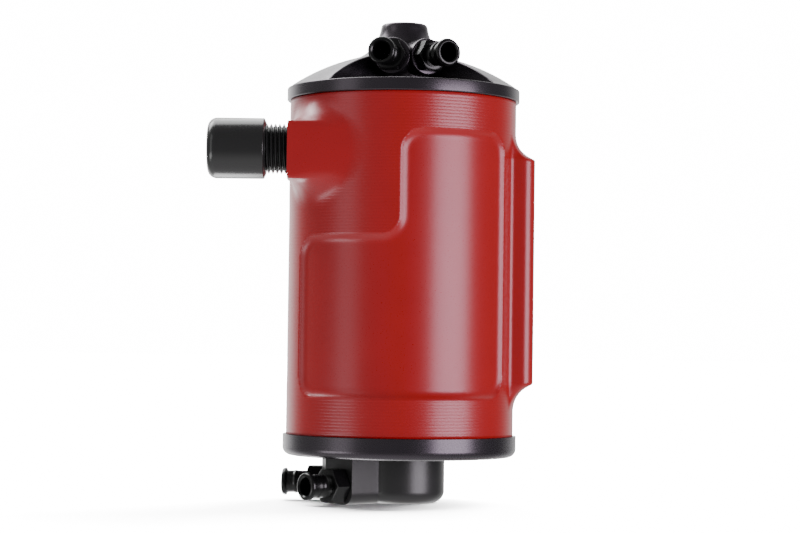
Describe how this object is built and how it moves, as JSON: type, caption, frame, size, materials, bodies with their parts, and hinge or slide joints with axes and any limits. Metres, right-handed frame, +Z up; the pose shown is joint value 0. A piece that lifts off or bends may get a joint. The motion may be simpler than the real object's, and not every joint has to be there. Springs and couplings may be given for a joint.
{
  "type": "oil catch can",
  "caption": "Cylindrical engine oil catch can with domed lid, hose nipples, plugged side port, mounting pad and a sump cup with drain nipples.",
  "frame": {"origin": "on the can's axis, at the bottom of the sump cup, which stands on the floor", "axes": "+Z up along the can's axis, -Y to the front between the hose nipples, +X towards the mounting pad"},
  "size_m": [0.1407, 0.102, 0.2094],
  "materials": {
    "red_anodised": "satin red anodised",
    "black_anodised": "satin black anodised",
    "black_nipple": "gloss black anodised",
    "black_plug": "satin black anodised",
    "seal_rubber": "matt",
    "bare_steel": "brushed",
    "bare_aluminium": "turned",
    "knitted_mesh": "knitted wire"
  },
  "bodies": {
    "can": {"body": "red_anodised", "lid": "black_anodised", "base_plate": "black_anodised", "sump_cup": "black_anodised", "lid_seal": "seal_rubber", "base_seal": "seal_rubber", "sump_seal": "seal_rubber", "sump_screws": "bare_steel", "outlet_tube": "bare_aluminium", "upper_mesh_plate": "bare_steel", "mesh_pack": "knitted_mesh", "lower_mesh_plate": "bare_steel", "stack_nut": "bare_steel", "drain_baffle": "bare_steel", "baffle_posts": "bare_aluminium", "baffle_screws": "bare_steel", "left_top_nipple": "black_nipple", "right_top_nipple": "black_nipple", "top_nipple_seals": "seal_rubber", "front_drain_nipple": "black_nipple", "rear_drain_nipple": "black_nipple", "drain_nipple_seals": "seal_rubber"},
    "plug": {"side_plug": "black_plug"}
  },
  "joints": [
    {"name": "plug_turn", "type": "hinge", "parent": "can", "child": "plug", "pos_m": [-0.0588, -0.0288, 0.1514], "axis": [-1, 0, 0], "range_deg": [0, 2240]}
  ]
}
